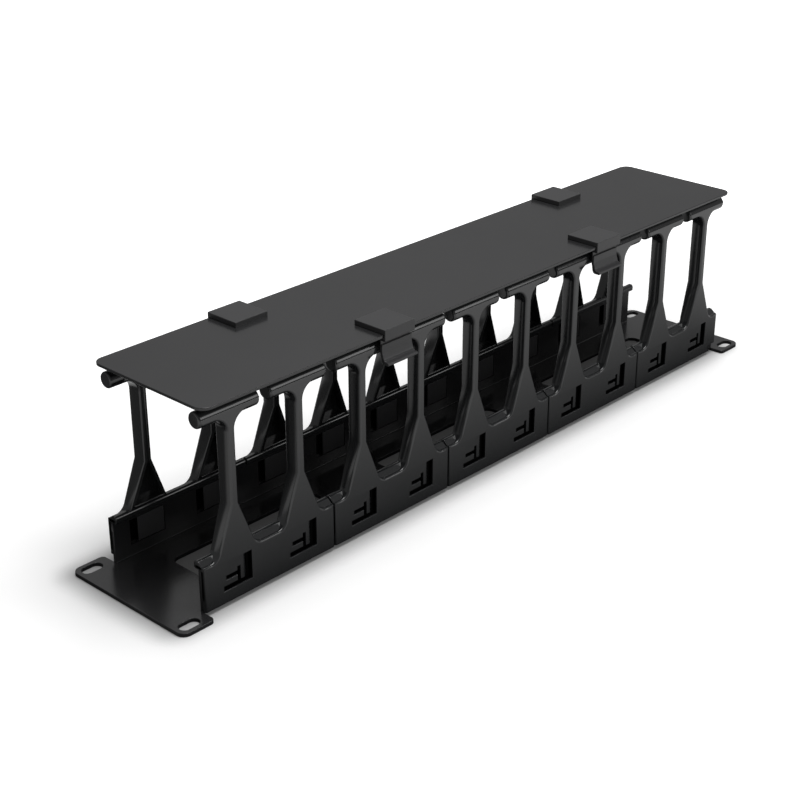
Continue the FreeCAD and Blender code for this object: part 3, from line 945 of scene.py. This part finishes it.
    def ramps(self, shell: Shell, seat: Seat) -> None:
        """Add the ramp in each latch pocket, a wedge that ends flush with the face."""
        _, foot, top = self.latch_side
        floor, high = self.latch_rows[1], self.latch_rows[5]
        out = np.cross(seat.right, seat.up)
        top_end = np.array(seat.origin) + high * np.array(seat.up)
        under = Seat(tuple(top_end), tuple(out), seat.right)
        for middle in self.middles:
            wedge = outline([
                (middle + foot, -self.latch_cut), (middle + top, 0.0),
                (middle + top, -self.latch_cut),
            ])
            shell.slab(under, Edge(wedge[::-1, ::-1]), 0.0, high - floor)

    def gates(self, shell: Shell, seat: Seat) -> None:
        """Add the low round ejector mark on the inner face of each web."""
        height, radius, rise = self.gate
        for middle in self.middles:
            mark = Edge(circle(middle, height, radius, self.gate_points), back=rise)
            shell.slab(seat, mark, self.web - self.overlap, self.web + rise)

    def dress(self, name: str, row: Row, middle: float, notched: bool,
              finish: Material) -> None:
        """Build one module at its place in a row.

        Args:
            name: Name of the node.
            row: The side that it stands on.
            middle: X of its middle.
            notched: Whether the lower corner of its right end is cut off.
            finish: Its material.
        """
        side = row.value
        seat = Seat((middle, side * self.row_half, 0.0), (-side, 0.0, 0.0), (0.0, 0.0, 1.0))
        shell = Shell()
        self.skin(shell, seat, notched)
        self.rims(shell, seat)
        self.bead_and_wall(shell, seat, notched)
        self.rods(shell, seat)
        self.hooks(shell, seat)
        self.ramps(shell, seat)
        self.gates(shell, seat)
        shell.build(name, "base", finish)


@dataclass
class CoverClip:
    """A clip that grips the cover's edge and snaps round the rods."""

    half_length: float = 11.1
    edge: float = 0.35
    cover_edge: float = 41.5
    block_out: float = 42.5
    pad_end: float = 20.6
    top: float = 115.0
    cover_top: float = 112.2
    shelf: Pair = (108.75, 110.5)
    neck: Pair = (38.5, 40.3)
    shelf_end: float = 30.9
    block_low: float = 108.5
    neck_low: float = 102.2
    groove: Pair = (106.3, 0.9)
    lip: Triple = (44.7, 95.7, 97.2)
    lean: float = 1.3
    bend: float = 2.0
    small: float = 0.6
    pad_round: float = 0.25

    def section(self) -> np.ndarray:
        """Outline across the clip, as (outwards, up)."""
        neck_in, neck_out = self.neck
        shelf_low, shelf_top = self.shelf
        lip_out, lip_low, lip_top = self.lip
        return outline([
            (self.pad_end, self.cover_top),
            (self.cover_edge, self.cover_top),
            (self.cover_edge, shelf_top),
            (self.shelf_end, shelf_top),
            (self.shelf_end, shelf_low),
            (neck_in, shelf_low),
            (neck_in, self.neck_low, self.bend),
            (neck_in + self.lean, lip_low, self.bend),
            (lip_out, lip_low, self.small),
            (lip_out, lip_top, self.small),
            (neck_out + self.lean, lip_top + self.small, self.bend),
            (neck_out, self.neck_low, self.bend),
            (neck_out, self.groove[0], self.pad_round),
            (neck_out - self.groove[1], self.groove[0]),
            (neck_out - self.groove[1], self.block_low),
            (self.block_out, self.block_low, self.small),
            (self.block_out, self.top, self.pad_round),
            (self.pad_end, self.top, self.pad_round),
        ])

    def dress(self, name: str, row: Row, middle: float, finish: Material) -> None:
        """Build one clip at its place on the cover."""
        side = row.value
        loop = self.section()
        end = (middle + side * self.half_length, 0.0, 0.0)
        seat = Seat(end, (0.0, side, 0.0), (0.0, 0.0, 1.0))
        shell = Shell()
        shell.slab(seat, Edge(loop, self.edge, back=self.edge), 0.0, 2 * self.half_length)
        shell.build(name, "cover", finish)


def facing(ahead: Vector) -> Matrix:
    """Turn a camera or a lamp to look along a direction."""
    return ahead.to_track_quat("-Z", "Y").to_matrix().to_4x4()


@dataclass
class Studio:
    """A pale floor, soft light and the photograph's camera, in metres and degrees."""

    camera_at: Triple = (-0.643643, -0.563731, 0.431407)
    azimuth: float = 43.2198
    elevation: float = -25.2258
    roll: float = -0.1544
    lens_mm: float = 73.047
    sensor_mm: float = 36.0
    sight: float = 20.0
    aim: Triple = (0.0, 0.0, 0.05)
    lamps: tuple[tuple[Triple, Pair, float], ...] = (
        ((0.15, -0.2, 1.6), (1.0, 0.9), 20.0),
        ((1.09, -1.57, 0.67), (1.0, 0.7), 5.0),
    )
    sheet_way: Triple = (0.515, 0.484, 0.707)
    sheet_edge: Pair = (0.89, 0.99)
    room_tones: Pair = (0.25, 0.68)
    floor_half: float = 4.0
    floor_drop: float = 0.0002
    floor_bounce: str = "#a0a0a0"
    foot: Pair = (0.235, 0.038)
    glow_span: Pair = (0.03, 0.4)
    glow_near: float = 0.12
    plate: Pair = (0.2413, 0.044)
    # Painted contact shadow on the floor: its shift, and ramps of start, end and darkest tone,
    # in metres.
    painted_shadow_shift: Pair = (-0.004, 0.003)
    painted_shadow_ramps: tuple[Triple, ...] = (
        (-0.009, 0.013, 0.4), (-0.026, -0.012, 0.33),
    )
    # Painted shade on the floor as the manager's reflections see it, darker near the manager and
    # behind its left end.
    mirror_reach: float = 0.18
    mirror_power: float = 0.75
    mirror_far: float = 1.0
    corner_way: Triple = (-0.685, -0.729, 0.0)
    corner_line: Pair = (0.149, 0.179)
    painted_corner_tones: Pair = (0.12, 0.75)
    corner_behind: Pair = (-0.06, -0.02)
    corner_left: Pair = (-0.25, -0.22)

    def camera(self) -> None:
        """Place the camera that was fitted to the photograph."""
        data = bpy.data.cameras.new("photo_camera")
        data.lens, data.sensor_width, data.clip_end = self.lens_mm, self.sensor_mm, self.sight
        azimuth, elevation = math.radians(self.azimuth), math.radians(self.elevation)
        ahead = Vector((
            math.cos(elevation) * math.cos(azimuth),
            math.cos(elevation) * math.sin(azimuth),
            math.sin(elevation),
        ))
        spin = Matrix.Rotation(math.radians(self.roll), 4, "Z")
        camera = add_object("photo_camera", data)
        camera.matrix_world = Matrix.Translation(self.camera_at) @ facing(ahead) @ spin
        bpy.context.scene.camera = camera

    def light(self) -> None:
        """Hang the soft lamps, each turned to the middle of the manager."""
        for number, (place, (width, height), power) in enumerate(self.lamps, start=1):
            data = bpy.data.lights.new(f"softbox_{number}", "AREA")
            data.shape = "RECTANGLE"
            data.size, data.size_y = width, height
            data.energy = power
            lamp = add_object(f"softbox_{number}", data)
            ahead = Vector(self.aim) - Vector(place)
            lamp.matrix_world = Matrix.Translation(place) @ facing(ahead)

    def room(self) -> None:
        """Set up a dim room with a pale sheet behind and above the manager."""
        world = bpy.data.worlds.new("white_studio")
        world.use_nodes = True
        tree = world.node_tree
        tree.nodes.clear()
        way = add_node(tree, "TexCoord").outputs["Generated"]
        close = add_node(tree, "VectorMath", {0: way, 1: self.sheet_way},
                         operation="DOT_PRODUCT").outputs["Value"]
        strength = add_node(tree, "MapRange", {
            "Value": close, "From Min": self.sheet_edge[0], "From Max": self.sheet_edge[1],
            "To Min": self.room_tones[0], "To Max": self.room_tones[1],
        }, **SOFT)
        sky = add_node(tree, "Background", {"Color": WHITE, "Strength": strength})
        add_node(tree, "OutputWorld", {"Surface": sky})
        bpy.context.scene.world = world

    def outside(
        self, tree: NodeTree, place: NodeSocket | Node, half: Sequence[float]
    ) -> NodeSocket:
        """Measure the distance from a rectangle about the origin, 0 inside it.

        Args:
            tree: Node tree of the floor.
            place: What gives the place.
            half: Half sizes of the rectangle.

        Returns:
            The socket that gives the distance.
        """
        node = add_node(tree, "VectorMath", {0: place}, operation="ABSOLUTE")
        for operation, other in (("SUBTRACT", (*half, 0.0)), ("MAXIMUM", (0.0, 0.0, 0.0))):
            node = add_node(tree, "VectorMath", {0: node, 1: other}, operation=operation)
        return add_node(tree, "VectorMath", {0: node}, operation="LENGTH").outputs["Value"]

    def paint_contact_shadow(self, tree: NodeTree, place: NodeSocket) -> Node:
        """Paint a shadow on the floor near the plate, a little to the left and to the back.

        Each ramp starts at a distance from the plate's outline, below 0 inside it,
        and rises from its own tone to white. The shade is the product of both.

        Args:
            tree: Node tree of the floor.
            place: The socket that gives the place.

        Returns:
            The node that gives the brightness.
        """
        beside = add_node(tree, "VectorMath", {0: place, 1: (*self.painted_shadow_shift, 0.0)},
                          operation="SUBTRACT")
        ramps = []
        for start, end, level in self.painted_shadow_ramps:
            away = self.outside(tree, beside, [half + start for half in self.plate])
            ramps.append(add_node(tree, "MapRange", {
                "Value": away, "From Max": end - start, "To Min": level,
            }, **SOFT))
        return add_node(tree, "Math", {0: ramps[0], 1: ramps[1]}, operation="MULTIPLY")

    def painted_floor_in_reflections(self, tree: NodeTree, place: NodeSocket, away: NodeSocket) -> Node:
        """Work out how bright the floor is in reflections.

        It is painted shade for the reflections: it rises with a power of the distance, to white
        at most. Behind the left end it is painted dark right of the line of sight past the first
        finger, and dim left of that line.

        Args:
            tree: Node tree of the floor.
            place: The socket that gives the place.
            away: The socket that gives the distance from the manager.

        Returns:
            The node that gives the brightness.
        """
        rise = add_node(tree, "MapRange", {"Value": away, "From Max": self.mirror_reach})
        rise = add_node(tree, "Math", {0: rise, 1: self.mirror_power}, operation="POWER")
        side = add_node(tree, "VectorMath", {0: place, 1: self.corner_way},
                        operation="DOT_PRODUCT")
        axes = add_node(tree, "SeparateXYZ", {0: place})
        dim, behind, left = (
            add_node(tree, "MapRange", {
                "Value": value, "From Min": low, "From Max": high, "To Min": start,
                "To Max": end,
            }, **SOFT)
            for value, (low, high), (start, end) in (
                (side.outputs["Value"], self.corner_line, self.painted_corner_tones),
                (axes.outputs["Y"], self.corner_behind, (0.0, 1.0)),
                (axes.outputs["X"], self.corner_left, (1.0, 0.0)),
            )
        )
        corner = add_node(tree, "Math", {0: behind, 1: left}, operation="MULTIPLY")
        level = add_node(tree, "Mix", {0: corner, 2: self.mirror_far, 3: dim},
                         data_type="FLOAT")
        return add_node(tree, "Math", {0: rise, 1: level}, operation="MULTIPLY")

    def floor(self) -> None:
        """Lay the floor: white to the eye with the object's shadow and a painted contact shadow,
        grey as a bounce.
        """
        half = self.floor_half
        mesh = bpy.data.meshes.new("floor")
        mesh.from_pydata([(-half, -half, 0), (half, -half, 0), (half, half, 0),
                          (-half, half, 0)], [], [(0, 1, 2, 3)])
        material, tree, place = start_material("pale_floor")
        away = self.outside(tree, place, self.foot)
        painted_contact_shadow = self.paint_contact_shadow(tree, place)
        # The floor glows, faintly near the object and up to white far from it, and that glow
        # leaves painted shade round the object.
        glow = add_node(tree, "MapRange", {
            "Value": away, "From Min": self.glow_span[0], "From Max": self.glow_span[1],
            "To Min": self.glow_near,
        }, **SOFT)
        glow = add_node(tree, "Emission", {"Color": painted_contact_shadow, "Strength": glow})
        seen = add_node(tree, "BsdfDiffuse", {"Color": painted_contact_shadow})
        seen = add_node(tree, "AddShader", {0: seen, 1: glow})
        painted_floor_in_reflections = add_node(tree, "Emission",
                          {"Color": WHITE, "Strength": self.painted_floor_in_reflections(tree, place, away)})
        path = add_node(tree, "LightPath")
        eye = add_node(tree, "Math", {
            0: path.outputs["Is Camera Ray"], 1: path.outputs["Is Transmission Ray"],
        }, operation="MAXIMUM")
        # Seen from below the floor is clear, so that the underside shows.
        below = add_node(tree, "NewGeometry").outputs["Backfacing"]
        clear = add_node(tree, "BsdfTransparent")
        shader = add_node(tree, "BsdfDiffuse", {"Color": linear(self.floor_bounce)})
        for share, other in (
            (eye, seen), (path.outputs["Is Glossy Ray"], painted_floor_in_reflections), (below, clear),
        ):
            shader = add_node(tree, "MixShader", {0: share, 1: shader, 2: other})
        add_node(tree, "OutputMaterial", {"Surface": shader})
        mesh.materials.append(material)
        floor = add_object("floor", mesh)
        floor.location.z = -self.floor_drop

    def set_up(self) -> None:
        """Set up camera, lamps, room and floor."""
        self.camera()
        self.light()
        self.room()
        self.floor()
        bpy.context.scene.view_settings.view_transform = "Standard"


def main() -> None:
    """Dress every node and set up the studio."""
    logging.basicConfig(level=logging.INFO, format="%(message)s")
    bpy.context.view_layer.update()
    coat = PowderCoat().material()
    plastic = MouldedPlastic().material()
    clip_finish = ExtrudedPlastic().material()

    BasePlate().dress(coat)
    CoverPlate().dress(coat)
    module = FingerModule()
    for row in Row:
        for number in range(MODULES):
            middle = (number - (MODULES - 1) / 2) * 2 * module.pitch
            notched = number == (MODULES - 1 if row is Row.FRONT else 0)
            name = f"{row.name.lower()}_module_{number + 1}"
            module.dress(name, row, middle, notched, plastic)
    for row, pitches in CLIP_PITCHES.items():
        for number, turn in enumerate((-1, 1), start=1):
            CoverClip().dress(f"{row.name.lower()}_clip_{number}", row,
                              turn * pitches * module.pitch, clip_finish)
    Studio().set_up()


if __name__ == "__main__":
    main()
